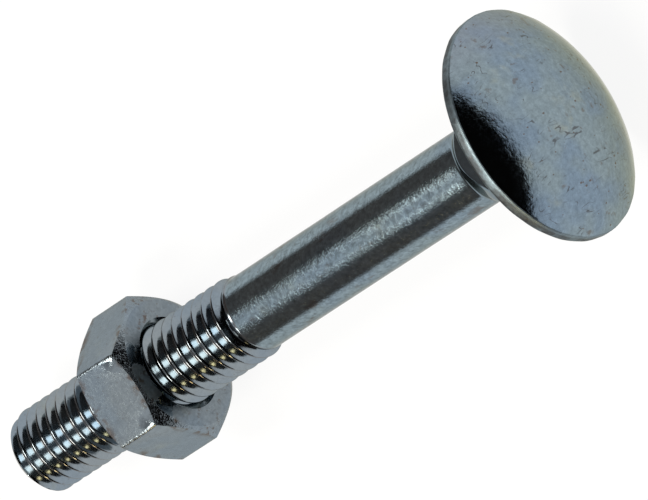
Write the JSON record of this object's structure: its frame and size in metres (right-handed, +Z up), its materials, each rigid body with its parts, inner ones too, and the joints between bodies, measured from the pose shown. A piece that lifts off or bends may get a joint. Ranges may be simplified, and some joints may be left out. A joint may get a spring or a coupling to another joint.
{
  "type": "carriage bolt",
  "caption": "Zinc-plated carriage bolt with a shallow domed head, square neck, plain shank and threaded end, with a hexagon nut on the thread.",
  "frame": {"origin": "on the floor, under the middle of the bounding box of the bolt as it lies", "axes": "+Z up, +X along the bolt towards its head, with the bolt's own axis in the XZ plane and rising towards the head"},
  "size_m": [0.0427, 0.0132, 0.0132],
  "materials": {
    "bolt_zinc": "bright blue zinc plating on steel",
    "nut_zinc": "bright blue zinc plating on steel, satin flats"
  },
  "bodies": {
    "bolt": {"carriage_bolt": "bolt_zinc"},
    "nut": {"hex_nut": "nut_zinc"}
  },
  "joints": [
    {"name": "nut_travel", "type": "slide", "parent": "bolt", "child": "nut", "axis": [0.9965, 0, 0.0834], "range_m": [-0.0104, 0.0056]}
  ]
}
